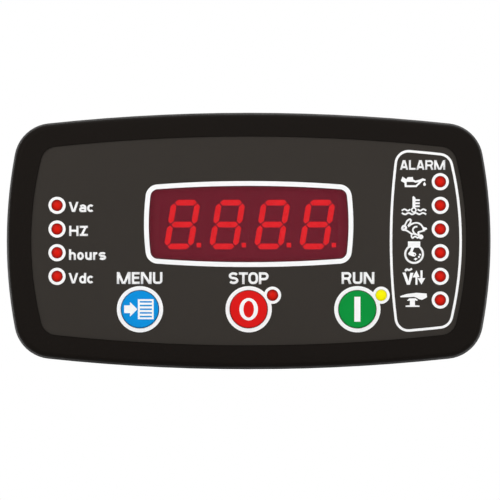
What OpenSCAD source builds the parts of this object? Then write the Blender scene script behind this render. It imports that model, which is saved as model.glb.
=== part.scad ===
// Panel-mounted start and protection controller for a small generating set.
// The front looks along -Y and +Z is up. The panel that the bezel seats on lies in the plane y = 0,
// and the origin is the middle of the panel cut-out.

/* [Bezel] */
// Width of the bezel across its bowed sides
bezel_w = 138.2; // [134:0.2:150]
// Height of the bezel across its bowed top and bottom
bezel_h = 73.3; // [70:0.1:84]
// Width of the raised rim at the sides
rim_side_w = 6.95; // [5:0.05:8]
// Width of the raised rim at the top and bottom
rim_top_w = 6.75; // [5:0.05:7]
// Radius of the bowed top and bottom edges
bezel_top_r = 540; // [420:10:900]
// Radius of the bowed side edges
bezel_side_r = 134; // [110:1:220]
// Radius of the rounded corners
bezel_corner_r = 10.9; // [8:0.1:13]
// How far the bezel stands in front of the panel
bezel_depth = 9; // [8.5:0.1:12]
// Rounding of the front edge
bezel_edge_r = 1.6; // [0.8:0.1:2.4]
// Draft of the side walls, from the panel to the front edge
bezel_draft = 0.5; // [0.2:0.1:1]
// Thickness of the front plate behind the overlay
plate_t = 2.5; // [2:0.1:3]
// Thickness of the walls round the pockets moulded into the back of the rim
rim_wall = 1.8; // [1.5:0.1:2]
// Depth of those pockets
rim_core_depth = 5.5; // [3:0.1:6]

/* [Overlay] */
// Radius of the overlay's bowed top and bottom edges
overlay_top_r = 520; // [420:10:900]
// Radius of the overlay's bowed side edges
overlay_side_r = 97; // [80:1:200]
// Radius of the overlay's corners
overlay_corner_r = 4.8; // [3:0.1:8]
// Thickness of the overlay film
overlay_t = 0.4; // [0.25:0.05:0.6]
// Depth of the recess that the overlay lies in
overlay_recess = 0.9; // [0.7:0.05:1.2]
// Thickness of the white ink
ink_t = 0.06; // [0.04:0.01:0.1]

/* [Display] */
// Width of the display window
window_w = 56.8; // [54:0.1:62]
// Height of the display window
window_h = 21.6; // [20:0.1:23]
// Radius of the window's bowed top and bottom edges
window_top_r = 354; // [250:1:600]
// Radius of the window's bowed side edges
window_side_r = 68; // [50:1:120]
// Radius of the window's corners
window_corner_r = 2.1; // [1.5:0.1:3]
// Height of the window's centre above the middle of the bezel
window_z = 4.8; // [3.5:0.1:6]
// Width of the white border round the window
window_border = 1.45; // [1:0.05:1.8]
// Thickness of the lens flange behind the front plate
lens_flange_t = 1.5; // [1:0.1:2]
// Thickness of the lens in front of the digits
lens_t = 2; // [1.5:0.1:2.5]
// Distance from one digit to the next
digit_pitch = 12.85; // [12.7:0.05:13.4]
// Height of a lit digit
digit_h = 14.1; // [13:0.1:15]
// Width of a lit digit across its strokes
digit_w = 8.3; // [7.6:0.1:8.8]
// Width of a digit's strokes
digit_stroke = 1.6; // [1.3:0.05:2]
// Lean of the digits in degrees
digit_slant = 9.5; // [0:0.5:12]
// Depth of a digit module from its face to the board
digit_depth = 8; // [7.5:0.1:9]

/* [Lamps] */
// Distance of each lamp column from the inside of the case
lamp_inset = 3.85; // [3.5:0.05:4.5]
// Distance from one lamp to the next in a column
lamp_pitch = 6.75; // [6.2:0.05:7]
// Diameter of a lamp
lamp_d = 3.1; // [2.6:0.1:3.2]
// Outer diameter of the white ring round a lamp
lamp_ring_d = 4.9; // [4.6:0.1:5.6]
// Height of a lamp's tip above the overlay
lamp_proud = 0.5; // [0.2:0.1:0.9]

/* [Keys] */
// Distance from one key to the next
key_pitch = 31; // [29:0.5:32]
// Upward distance of the keys' centres from the inside of the case
key_inset = 8.5; // [8:0.1:9]
// Diameter of a key cap
key_d = 10.6; // [10:0.1:10.8]
// Outer diameter of the white ring round a key
key_ring_d = 13.2; // [12.4:0.1:13.8]
// Height of a key cap above the overlay
key_proud = 0.6; // [0.3:0.1:1]
// Travel of a key
key_travel = 0.5; // [0.25:0.05:0.6]
// Sideways distance from a key to its own lamp
key_lamp_dx = 6.8; // [6.8:0.1:7.2]
// Upward distance from a key to its own lamp
key_lamp_dz = 4; // [4:0.1:4.6]

/* [Case] */
// How far the bezel reaches past the case at the sides
side_lap = 8.6; // [8:0.1:9]
// How far the bezel reaches past the case at the top and bottom
top_lap = 6.65; // [6:0.05:7]
// Depth of the case behind the panel
case_depth = 34; // [32:0.5:44]
// Thickness of the case walls
case_wall = 2; // [1.6:0.1:2.2]
// Corner radius of the case
case_corner_r = 3; // [2.5:0.1:4]
// Depth of the bezel pocket that the case mouth sits in
case_lap = 3; // [2:0.1:3]

/* [Boards] */
// Thickness of both circuit boards
board_t = 1.6; // [1.2:0.1:2]
// Sideways place of the board posts
post_x = 46; // [45:0.1:47]
// Upward distance of the board posts from the inside of the case
post_inset = 6; // [5.7:0.1:6.5]
// Diameter of the board posts
post_d = 6; // [5:0.1:6.5]

/* [Terminals] */
// Poles of the battery and signal terminal
terminal_poles = 10; // [6:1:10]
// Pitch of the battery and signal terminal
terminal_pitch = 5.08; // [5:0.01:5.08]
// Poles of the generator terminal
generator_poles = 2; // [2:1:3]
// Pitch of the generator terminal
generator_pitch = 7.62; // [7.5:0.01:7.62]
// Height of the terminal row, measured from the middle of the case
terminal_z = -11; // [-13:0.5:-9]
// How far a plug stands out of its socket
plug_reach = 10.5; // [10:0.1:13]

/* [Brackets] */
// Gap left for the panel between the bezel and the clamping screws
panel_gap = 5; // [2:0.1:6]
// Height of a bracket
bracket_h = 20; // [18:0.5:26]
// Diameter of the clamping screws
clamp_d = 3; // [2.5:0.5:3]

/* [Hidden] */
$fn = 48;

// Clearance of a moulded piece in its opening
fit_gap = 0.1;
// Clearance of a screw or stud in its hole, each side
screw_gap = 0.05;
// Extra length of a cutting tool past the face that it cuts
cut = 1;

// Levels along Y, from the front to the back
rim_y = -bezel_depth;
recess_y = rim_y + overlay_recess;
overlay_y = recess_y - overlay_t;
plate_y = recess_y + plate_t;
lens_back_y = plate_y + lens_flange_t;
digit_face_gap = 0.3;
digit_y = lens_back_y + digit_face_gap;
display_board_y = digit_y + digit_depth;
board_back_y = display_board_y + board_t;
socket_depth = 12;
socket_sink = 0.6;
socket_rim_y = case_depth - socket_sink;
main_back_y = socket_rim_y - socket_depth;
main_board_y = main_back_y - board_t;

// Overlay inside the rim, case behind the bezel, and what stands at a set distance from the case walls
overlay_w = bezel_w - 2 * rim_side_w;
overlay_h = bezel_h - 2 * rim_top_w;
case_w = bezel_w - 2 * side_lap;
case_h = bezel_h - 2 * top_lap;
inner_w = case_w - 2 * case_wall;
inner_h = case_h - 2 * case_wall;
inner_corner_r = case_corner_r - case_wall / 2;
lamp_x = inner_w / 2 - lamp_inset;
key_z = key_inset - inner_h / 2;
post_z = inner_h / 2 - post_inset;

// Outlines, each made of four bowed edges given as [centre x, centre z, radius], right then top, left, bottom
function bowed(w, h, top_r, side_r, z = 0) = [
    [w / 2 - side_r, z, side_r], [0, z + h / 2 - top_r, top_r],
    [side_r - w / 2, z, side_r], [0, z + top_r - h / 2, top_r]];
function grown(edges, d) = [for (e = edges) [e[0], e[1], e[2] + d]];
function meet(a, b) = let(
    ab = [b[0] - a[0], b[1] - a[1]],
    far = norm(ab),
    along = (a[2] ^ 2 - b[2] ^ 2 + far ^ 2) / (2 * far),
    off = sqrt(a[2] ^ 2 - along ^ 2),
    u = ab / far)
    [a[0], a[1]] + along * u + off * [-u[1], u[0]];
function heading(from, to) = (atan2(to[1] - from[1], to[0] - from[0]) + 360) % 360;
function arc(centre, r, a0, a1, n) =
    [for (k = [0:n]) let(a = a0 + (a1 - a0) * k / n) centre + r * [cos(a), sin(a)]];
corner_steps = 10;
edge_steps = 14;
function corner_centres(edges, r) = let(inner = grown(edges, -r))
    [for (i = [0:3]) meet(inner[i], inner[(i + 1) % 4])];
function bowed_points(edges, r) = let(centres = corner_centres(edges, r))
    [for (i = [0:3]) let(
        from = edges[i],
        to = edges[(i + 1) % 4],
        here = centres[i],
        next = centres[(i + 1) % 4],
        a0 = heading(from, here),
        a1 = heading(to, here),
        a2 = a1 + (heading(to, next) - a1 + 360) % 360,
        edge = arc([to[0], to[1]], to[2], a1, a2, edge_steps))
        each concat(arc(here, r, a0, a1, corner_steps), [for (k = [1:edge_steps - 1]) edge[k]])];
function rounded_points(w, h, r) = [for (i = [0:3]) let(
    sx = (i == 0 || i == 3) ? 1 : -1,
    sz = i < 2 ? 1 : -1)
    each arc([sx * (w / 2 - r), sz * (h / 2 - r)], r, 90 * i, 90 * i + 90, corner_steps)];

bezel_edges = bowed(bezel_w, bezel_h, bezel_top_r, bezel_side_r);
overlay_edges = bowed(overlay_w, overlay_h, overlay_top_r, overlay_side_r);
window_edges = bowed(window_w, window_h, window_top_r, window_side_r, window_z);

// The alarm frame follows the overlay's top, bottom and right edges and has a bowed left edge of its own
alarm_top_inset = 1.95;
alarm_side_inset = 1.35;
alarm_left_x = 40.25;
alarm_left_r = 183;
alarm_corner_r = 4;
alarm_line = 0.7;
alarm_edges = [
    [overlay_edges[0][0], 0, overlay_side_r - alarm_side_inset],
    [0, overlay_edges[1][1], overlay_top_r - alarm_top_inset],
    [alarm_left_x + alarm_left_r, 0, alarm_left_r],
    [0, overlay_edges[3][1], overlay_top_r - alarm_top_inset]];

// Places of the lamps, keys, posts and modules as [x, z]
meter_lamps = [for (i = [0:3]) [-lamp_x, lamp_pitch * (1.5 - i)]];
alarm_lamps = [for (i = [0:5]) [lamp_x, lamp_pitch * (2.5 - i)]];
keys = [for (i = [-1:1]) [i * key_pitch, key_z]];
key_lamps = [for (i = [1, 2]) keys[i] + [key_lamp_dx, key_lamp_dz]];
lamps = concat(meter_lamps, alarm_lamps, key_lamps);
posts = [for (sx = [-1, 1], sz = [-1, 1]) [sx * post_x, sz * post_z]];
digits = [for (i = [0:3]) [(i - 1.5) * digit_pitch, window_z]];

// Basic shapes: a flat outline or a round rod laid along Y, and a box given by its low and high corners
module slab(y0, y1) translate([0, y1, 0]) rotate([90, 0, 0]) linear_extrude(y1 - y0) children();
module rod(at, y0, y1, r) translate([at[0], y1, at[1]]) rotate([90, 0, 0]) cylinder(h = y1 - y0, r = r);
module box(low, high) translate(low) cube(high - low);
module ring(d) for (p = lamps) translate(p) circle(d = d);

// Filled outlines, made larger by d all round: a bowed one, and a rectangle with round corners
module bowed_outline(edges, r, d = 0) polygon(bowed_points(grown(edges, d), r + d));
module round_outline(w, h, r, d = 0) polygon(rounded_points(w + 2 * d, h + 2 * d, r + d));

// Moulded bezel
lamp_hole_gap = 0.05;
key_hole_r = key_d / 2 + fit_gap;
window_lip = 1.6;
edge_slices = 5;
slice_t = 0.01;
tab_x = 25;
tab_w = 12;
tab_t = 1.5;
tab_reach = 5;
snap_y0 = 1.4;
snap_y1 = 4.2;
snap_rise = 1.2;
post_bore_depth = 6;
stud_r = 1.25;
rib_t = 1.6;
side_core_h = 44;
side_rib_z = [-11, 0, 11];
top_core_w = 60;
top_rib_x = [-20, -10, 0, 10, 20];
tab_top = inner_h / 2 - 2 * fit_gap;

module bezel_shell() hull() {
    slab(-slice_t, 0) bowed_outline(bezel_edges, bezel_corner_r);
    for (k = [0:edge_slices]) let(
        a = 90 * k / edge_slices,
        inset = bezel_draft + bezel_edge_r * (1 - cos(a)),
        y = rim_y + bezel_edge_r * (1 - sin(a)))
        slab(y, y + slice_t) bowed_outline(bezel_edges, bezel_corner_r, -inset);
}

module snap_tab() {
    box([-tab_w / 2, plate_y - cut / 2, tab_top - tab_t], [tab_w / 2, tab_reach, tab_top]);
    translate([-tab_w / 2, 0, tab_top]) rotate([90, 0, 90]) linear_extrude(tab_w)
        polygon([[snap_y0, -tab_t / 2], [snap_y1, -tab_t / 2], [snap_y1, 0], [snap_y0, snap_rise]]);
}

module rim_cores() difference() {
    bowed_outline(bezel_edges, bezel_corner_r, -bezel_draft - rim_wall);
    square([case_w, case_h] + 2 * (fit_gap + rim_wall) * [1, 1], center = true);
    for (sx = [-1, 1], sz = [-1, 1])
        translate([sx * (top_core_w + bezel_w), sz * (side_core_h + bezel_h)] / 2)
            square([bezel_w, bezel_h], center = true);
    for (z = side_rib_z) translate([0, z]) square([2 * bezel_w, rib_t], center = true);
    for (x = top_rib_x) translate([x, 0]) square([rib_t, 2 * bezel_h], center = true);
}

module front_openings() {
    bowed_outline(window_edges, window_corner_r);
    ring(lamp_d + 2 * lamp_hole_gap);
    for (p = keys) translate(p) circle(r = key_hole_r);
}

module front_bezel() color("#1e1a17") union() {
    difference() {
        bezel_shell();
        slab(rim_y - cut, recess_y) bowed_outline(overlay_edges, overlay_corner_r);
        slab(plate_y, cut) round_outline(inner_w, inner_h, inner_corner_r);
        slab(-case_lap, cut) round_outline(case_w, case_h, case_corner_r, fit_gap);
        slab(recess_y - cut, plate_y + cut) front_openings();
        slab(-rim_core_depth, cut) rim_cores();
    }
    for (sx = [-1, 1], m = [0, 1]) mirror([0, 0, m]) translate([sx * tab_x, 0, 0]) snap_tab();
    for (p = posts) difference() {
        rod(p, plate_y - cut / 2, display_board_y, post_d / 2);
        rod(p, display_board_y - post_bore_depth, display_board_y + cut, stud_r + screw_gap);
    }
}

// Printed film and its white ink
module front_overlay() color("#393532") slab(overlay_y, recess_y) difference() {
    bowed_outline(overlay_edges, overlay_corner_r, -fit_gap);
    front_openings();
}

module ink_shapes() difference() {
    union() {
        bowed_outline(window_edges, window_corner_r, window_border);
        ring(lamp_ring_d);
        for (p = keys) translate(p) circle(d = key_ring_d);
    }
    bowed_outline(window_edges, window_corner_r, fit_gap);
    ring(lamp_d + 4 * lamp_hole_gap);
    for (p = keys) translate(p) circle(r = key_hole_r + fit_gap);
}

module overlay_print() color("white") {
    slab(overlay_y - ink_t, overlay_y) ink_shapes();
    slab(overlay_y - ink_t, overlay_y) difference() {
        bowed_outline(alarm_edges, alarm_corner_r);
        bowed_outline(alarm_edges, alarm_corner_r, -alarm_line);
    }
}

// Red window, hollow at the back, with a flange behind the front plate
lens_wall = 1.2;

module display_lens() color("#6b2530") difference() {
    union() {
        slab(overlay_y, plate_y + cut / 2) bowed_outline(window_edges, window_corner_r, -fit_gap);
        slab(plate_y, lens_back_y) bowed_outline(window_edges, window_corner_r, window_lip);
    }
    slab(overlay_y + lens_t, lens_back_y + cut) bowed_outline(window_edges, window_corner_r, -lens_wall);
}

// Single-digit display modules, with seven light bars and a point moulded into each face
module_gap = 0.25;
module_w = digit_pitch - module_gap;
module_h = 19;
bar_gap = 0.25;
bar_depth = 2.5;
bar_fit = 0.02;
bars_at = [0.3, -0.1];
point_w = 1.25;
point_inset = 1.25;
point_rise = 0.45;
point_at = [module_w / 2 - point_inset, (point_w - digit_h) / 2 + point_rise];
bar_half_w = (digit_w - digit_stroke) / 2;
bar_half_h = (digit_h - digit_stroke) / 2;
bars = [
    [0, bar_half_h, 0], [0, 0, 0], [0, -bar_half_h, 0],
    [bar_half_w, bar_half_h / 2, 90], [bar_half_w, -bar_half_h / 2, 90],
    [-bar_half_w, bar_half_h / 2, 90], [-bar_half_w, -bar_half_h / 2, 90]];
function bar_outline(tip, half) = [
    [tip, 0], [tip - half, half], [half - tip, half], [-tip, 0], [half - tip, -half], [tip - half, -half]];
function leaned(p) = [p[0] + p[1] * tan(digit_slant), p[1]];
function turned(p, a) = [p[0] * cos(a) - p[1] * sin(a), p[0] * sin(a) + p[1] * cos(a)];
function bar_points(bar, spread) = let(
    tip = (bar[2] == 0 ? bar_half_w : bar_half_h / 2) - bar_gap + spread)
    [for (p = bar_outline(tip, digit_stroke / 2 + spread)) leaned([bar[0], bar[1]] + turned(p, bar[2]))];

module light_bars(spread) {
    translate(bars_at) for (bar = bars) polygon(bar_points(bar, spread));
    translate(point_at) square(point_w + 2 * spread, center = true);
}

module digit_module(i) color("#2b2b2d") translate([digits[i][0], 0, digits[i][1]]) difference() {
    box([-module_w / 2, digit_y, -module_h / 2], [module_w / 2, display_board_y, module_h / 2]);
    slab(digit_y - cut, digit_y + bar_depth) light_bars(bar_fit);
}

module digit_segments(i) color("#e2231a") translate([digits[i][0], 0, digits[i][1]])
    slab(digit_y, digit_y + bar_depth) light_bars(0);

// Indicator lamps on spacers
lamp_red = "#dc1f1c";
lamp_yellow = "#f5ee10";
lamp_lip = 0.35;
lamp_flange_r = lamp_d / 2 + lamp_lip;
lamp_flange_t = 1;
lamp_stem = 4.3;
lamp_top = lamp_flange_t + lamp_stem;
lamp_dome_r = (lamp_d ^ 2 / 4 + lamp_proud ^ 2) / (2 * lamp_proud);
lamp_tip_y = overlay_y - lamp_proud;
lamp_flange_y = lamp_tip_y + lamp_stem;
lamp_base_y = lamp_flange_y + lamp_flange_t;
lead_pitch = 2.1;
lead_w = 0.45;
spacer_wall = 0.3;

module lamp(i, tint) color(tint) translate([lamps[i][0], 0, lamps[i][1]]) {
    translate([0, lamp_base_y, 0]) rotate([90, 0, 0]) rotate_extrude() {
        square([lamp_flange_r, lamp_flange_t]);
        square([lamp_d / 2, lamp_top - lamp_proud]);
        intersection() {
            translate([0, lamp_top - lamp_dome_r]) circle(r = lamp_dome_r);
            square([lamp_d / 2, lamp_top]);
        }
    }
    for (sx = [-1, 1]) translate([sx * lead_pitch / 2, 0, 0])
        box([-lead_w / 2, lamp_base_y - lamp_flange_t / 2, -lead_w / 2],
            [lead_w / 2, display_board_y, lead_w / 2]);
}

module lamp_spacers() color("#101010") for (p = lamps) difference() {
    rod(p, lamp_base_y, display_board_y, lamp_flange_r);
    rod(p, lamp_base_y - cut, display_board_y + cut, lamp_flange_r - spacer_wall);
}

// Key caps with a flange behind the front plate and a plunger that meets the switch stem
key_lip = 0.4;
key_flange_t = 0.8;
key_edge_r = 0.35;
plunger_d = 4.6;
switch_w = 6;
switch_body_h = 3.5;
switch_h = 5;
stem_d = 3.4;
stem_sink = 1.4;
stem_room = 0.3;
switch_top_y = display_board_y - switch_body_h;
stem_tip_y = display_board_y - switch_h;
key_top_y = overlay_y - key_proud;
key_len = stem_tip_y - key_top_y;
key_flange_at = stem_tip_y - plate_y - key_flange_t;

module key_cap(i, tint) color(tint) translate([keys[i][0], stem_tip_y, keys[i][1]]) rotate([90, 0, 0])
    rotate_extrude() {
        square([plunger_d / 2, key_len - key_edge_r]);
        translate([0, key_flange_at]) square([key_d / 2 + key_lip, key_flange_t]);
        translate([0, key_flange_at]) square([key_d / 2, key_len - key_edge_r - key_flange_at]);
        translate([0, key_len - 2 * key_edge_r]) square([key_d / 2 - key_edge_r, 2 * key_edge_r]);
        translate([key_d / 2 - key_edge_r, key_len - key_edge_r]) circle(r = key_edge_r);
    }

module switch_base(i) color("#242424") translate([keys[i][0], 0, keys[i][1]]) difference() {
    box([-switch_w / 2, switch_top_y, -switch_w / 2], [switch_w / 2, display_board_y, switch_w / 2]);
    rod([0, 0], switch_top_y - cut, switch_top_y + stem_sink + key_travel + stem_room, stem_d / 2 + fit_gap);
}

module switch_stem(i) color("#d8d5cc") rod(keys[i], stem_tip_y, switch_top_y + stem_sink, stem_d / 2);

// Two circuit boards on hexagonal spacers
board_gap = 0.8;
board_corner_r = 1.5;
board_w = inner_w - 2 * board_gap;
board_h = 2 * (tab_top - tab_t - 3 * fit_gap);
main_board_trim = 5;
spacer_flats = 5;
screw_head_r = 2.3;
screw_head_t = 1.8;
spacer_bore_depth = 6;
stud_end_gap = 0.5;

module board(y, w) color("#1d5c38") difference() {
    slab(y, y + board_t) round_outline(w, board_h, board_corner_r);
    for (p = posts) rod(p, y - cut, y + board_t + cut, stud_r + 2 * screw_gap);
}

module display_board() board(display_board_y, board_w);
module main_board() board(main_board_y, board_w - main_board_trim);

module board_spacers() color("#c9a24a") for (p = posts) difference() {
    union() {
        translate([p[0], main_board_y, p[1]]) rotate([90, 0, 0])
            cylinder(h = main_board_y - board_back_y, r = spacer_flats / sqrt(3), $fn = 6);
        rod(p, display_board_y - post_bore_depth + stud_end_gap, board_back_y + cut, stud_r);
    }
    rod(p, main_board_y - spacer_bore_depth, main_board_y + cut, stud_r + screw_gap);
}

module board_screws() color("silver") for (p = posts) {
    rod(p, main_board_y - spacer_bore_depth + stud_end_gap, main_back_y + cut / 2, stud_r);
    rod(p, main_back_y, main_back_y + screw_head_t, screw_head_r);
}

// Plug-together connector between the boards
link_z = 16;
link_pitch = 2.54;
link_poles = 8;
link_pin = 0.64;
link_hole = 0.9;
link_body_h = 5;
link_base = 2.5;
link_mate = 0.6;
link_end_gap = 1;
link_w = link_poles * link_pitch;
link_face_y = main_board_y - link_base - link_mate;
link_spots = [for (i = [0:link_poles - 1], row = [-1, 1])
    [(i - (link_poles - 1) / 2) * link_pitch, link_z + row * link_pitch / 2]];

module link_block(y0, y1) box(
    [-link_w / 2, y0, link_z - link_body_h / 2],
    [link_w / 2, y1, link_z + link_body_h / 2]);
module link_pins(y0, y1, w) for (p = link_spots) translate([p[0], 0, p[1]])
    box([-w / 2, y0, -w / 2], [w / 2, y1, w / 2]);

module board_socket() color("#151515") difference() {
    link_block(board_back_y, link_face_y);
    link_pins(board_back_y + link_end_gap, link_face_y + cut, link_hole);
}

module board_header() color("#151515") {
    link_block(main_board_y - link_base, main_board_y);
    link_pins(board_back_y + 2 * link_end_gap, main_board_y - link_base / 2, link_pin);
}

// Parts on the inner face of the main board
chip_at = [-27, 0];
chip_w = 10;
chip_t = 1.6;
chip_dot_r = 0.6;
chip_dot_depth = 0.2;
capacitor_spots = [[27, 6], [38, 6]];
capacitor_d = 8;
capacitor_room = 3;
capacitor_h = main_board_y - board_back_y - capacitor_room;
capacitor_groove_h = 1.6;
capacitor_groove_r = 0.45;
inductor_at = [29, -12];
inductor_d = 9.5;
inductor_h = 6;
inductor_rim_t = 1.2;
inductor_waist = 1;
transistor_first = [-36, -16];
transistor_pitch = 9;
transistor_spots = [for (i = [0:3]) transistor_first + [i * transistor_pitch, 0]];
transistor_w = 6.5;
transistor_h = 6;
transistor_t = 2.3;
heat_tab_w = 5;
heat_tab_h = 2.4;
heat_tab_t = 0.5;

module chip_box(at, w, h, t, y) translate([at[0], 0, at[1]]) box([-w / 2, y - t, -h / 2], [w / 2, y, h / 2]);

module microcontroller() color("#1b1b1d") difference() {
    chip_box(chip_at, chip_w, chip_w, chip_t, main_board_y);
    rod(chip_at + [-chip_w / 3, chip_w / 3], main_board_y - chip_t - cut,
        main_board_y - chip_t + chip_dot_depth, chip_dot_r);
}

module supply_capacitors() color("#23304a") for (p = capacitor_spots)
    translate([p[0], main_board_y, p[1]]) rotate([90, 0, 0]) rotate_extrude() difference() {
        square([capacitor_d / 2, capacitor_h]);
        translate([capacitor_d / 2, capacitor_groove_h]) circle(r = capacitor_groove_r);
    }

module supply_inductor() color("#4a4642") translate([inductor_at[0], main_board_y, inductor_at[1]])
    rotate([90, 0, 0]) rotate_extrude() {
        square([inductor_d / 2, inductor_rim_t]);
        square([inductor_d / 2 - inductor_waist, inductor_h]);
        translate([0, inductor_h - inductor_rim_t]) square([inductor_d / 2, inductor_rim_t]);
    }

module output_transistors() color("#1b1b1d") for (p = transistor_spots) {
    chip_box(p, transistor_w, transistor_h, transistor_t, main_board_y);
    chip_box(p + [0, transistor_h / 2], heat_tab_w, heat_tab_h, heat_tab_t, main_board_y);
}

// Moulded case, closed at the back round the two terminals
case_edge_r = 1.8;
hook_z = 5;
hook_w = 4;
hook_neck = 3;
hook_lip = 3;
hook_lip_t = 1.1;
hook_y = 14;
slot_len = hook_neck + hook_lip + 4 * fit_gap;

module case_shell() hull() {
    slab(-case_lap, -case_lap + slice_t) round_outline(case_w, case_h, case_corner_r);
    for (k = [0:edge_slices]) let(
        a = 90 * k / edge_slices,
        inset = case_edge_r * (1 - cos(a)),
        y = case_depth - case_edge_r * (1 - sin(a)))
        slab(y - slice_t, y) round_outline(case_w, case_h, case_corner_r, -inset);
}

module rear_case() color("#1c1a19") difference() {
    case_shell();
    slab(-case_lap - cut, case_depth - case_wall) round_outline(inner_w, inner_h, inner_corner_r);
    for (sx = [-1, 1]) box(
        [sx * tab_x - tab_w / 2 - 2 * fit_gap, snap_y0 - 2 * fit_gap, -case_h],
        [sx * tab_x + tab_w / 2 + 2 * fit_gap, snap_y1 + 2 * fit_gap, case_h]);
    for (sz = [-1, 1]) box(
        [-case_w, hook_y + hook_neck - slot_len, sz * hook_z - hook_w / 2 - fit_gap],
        [case_w, hook_y + hook_neck, sz * hook_z + hook_w / 2 + fit_gap]);
    socket_cut(terminal_x, terminal_len);
    socket_cut(generator_x, generator_len);
}

// Plug-in screw terminals: a socket on the main board, and a plug with a wire entry and a screw for each pole
terminal_x = -15;
generator_inset = 22.5;
generator_x = inner_w / 2 - generator_inset;
terminal_len = terminal_poles * terminal_pitch;
generator_len = generator_poles * generator_pitch;
socket_end = 1.3;
socket_h = 8.6;
socket_wall = 1;
socket_floor = 3;
plug_gap = 0.15;
plug_h = 11;
plug_drop = 1.2;
plug_chamfer = 1.8;
plug_groove_w = 0.5;
plug_groove_depth = 0.4;
plug_floor_gap = 0.5;
pin_w = 1;
pin_reach = 7;
pin_hole = 1.5;
entry_w = 3.4;
entry_h = 3.4;
entry_depth = 3.2;
clamp_wall = 0.4;
clamp_len = 5;
screw_well_r = 1.75;
screw_r = 1.6;
screw_top_sink = 0.8;
drive_w = 0.5;
drive_depth = 0.6;
plug_top = terminal_z + plug_h / 2 - plug_drop;
plug_bottom = plug_top - plug_h;
plug_front_y = case_depth + plug_gap;
plug_back_y = socket_rim_y + plug_reach;
clamp_y0 = plug_back_y - entry_depth - clamp_len;
clamp_mid_y = clamp_y0 + clamp_len / 2;
clamp_top = terminal_z + entry_h / 2;
function poles_at(x, n, pitch) = [for (i = [0:n - 1]) x + (i - (n - 1) / 2) * pitch];
terminal_xs = poles_at(terminal_x, terminal_poles, terminal_pitch);
generator_xs = poles_at(generator_x, generator_poles, generator_pitch);

module socket_box(x, len, y0, y1, spread) box(
    [x - len / 2 - socket_end - spread, y0, terminal_z - socket_h / 2 - spread],
    [x + len / 2 + socket_end + spread, y1, terminal_z + socket_h / 2 + spread]);

module socket_cut(x, len) socket_box(x, len, case_depth - case_wall - cut, case_depth + cut, 2 * fit_gap);

module pole_box(x, y0, y1, w, z0, z1) box([x - w / 2, y0, z0], [x + w / 2, y1, z1]);

module socket(x, len, xs) color("#2f7d4a") difference() {
    socket_box(x, len, main_back_y, socket_rim_y, 0);
    socket_box(x, len, main_back_y + socket_floor, socket_rim_y + cut, -socket_wall);
    for (px = xs) pole_box(px, main_back_y - cut, socket_rim_y, pin_w + 2 * screw_gap,
        terminal_z - pin_w / 2 - screw_gap, terminal_z + pin_w / 2 + screw_gap);
}

module pins(xs) color("#c8c8c4") for (px = xs)
    pole_box(px, main_back_y, main_back_y + socket_floor + pin_reach, pin_w,
        terminal_z - pin_w / 2, terminal_z + pin_w / 2);

module plug_side(d) polygon([
    [plug_front_y, plug_bottom - d], [plug_back_y + d, plug_bottom - d],
    [plug_back_y + d, plug_top - plug_chamfer + d], [plug_back_y - plug_chamfer + d, plug_top + d],
    [plug_front_y, plug_top + d]]);

module plug_slice(x, w) translate([x - w / 2, 0, 0]) rotate([90, 0, 90]) linear_extrude(w) children();

module plug(x, len, xs) color("#2f7d4a") difference() {
    union() {
        socket_box(x, len, main_back_y + socket_floor + plug_floor_gap, plug_front_y + cut,
            -socket_wall - plug_gap);
        plug_slice(x, len) plug_side(0);
    }
    for (i = [1:len(xs) - 1]) plug_slice((xs[i - 1] + xs[i]) / 2, plug_groove_w) difference() {
        plug_side(cut);
        plug_side(-plug_groove_depth);
    }
    for (px = xs) {
        pole_box(px, main_back_y, clamp_y0, pin_hole, terminal_z - pin_hole / 2, terminal_z + pin_hole / 2);
        pole_box(px, clamp_y0, plug_back_y + cut, entry_w, terminal_z - entry_h / 2, clamp_top);
        translate([px, clamp_mid_y, terminal_z]) cylinder(h = plug_h, r = screw_well_r);
    }
}

module clamps(xs) color("#b9b9b4") for (px = xs) difference() {
    pole_box(px, clamp_y0, clamp_y0 + clamp_len, entry_w - screw_gap, terminal_z - entry_h / 2, clamp_top);
    pole_box(px, clamp_y0 - cut, clamp_y0 + clamp_len + cut, entry_w - 2 * clamp_wall,
        terminal_z - entry_h / 2 + clamp_wall, clamp_top - clamp_wall);
}

module plug_screws(xs) color("silver") for (px = xs) difference() {
    translate([px, clamp_mid_y, clamp_top]) cylinder(h = plug_top - screw_top_sink - clamp_top, r = screw_r);
    box([px - screw_r, clamp_mid_y - drive_w / 2, plug_top - screw_top_sink - drive_depth],
        [px + screw_r, clamp_mid_y + drive_w / 2, plug_top]);
}

// Panel brackets: a hooked plate on each side of the case, with a screw that presses on the panel
bracket_t = 2;
bracket_y0 = 8;
bracket_lug_y0 = 19;
bracket_y1 = 26;
lug_wall = 1.7;
lug_w = clamp_d + 2 * lug_wall;
clamp_x = 4.2;
gusset_t = 1.6;
clamp_head_r = 2.75;
clamp_head_t = 2;
clamp_slot_w = 0.8;
clamp_slot_depth = 1;
clamp_head_gap = 5;

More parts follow.
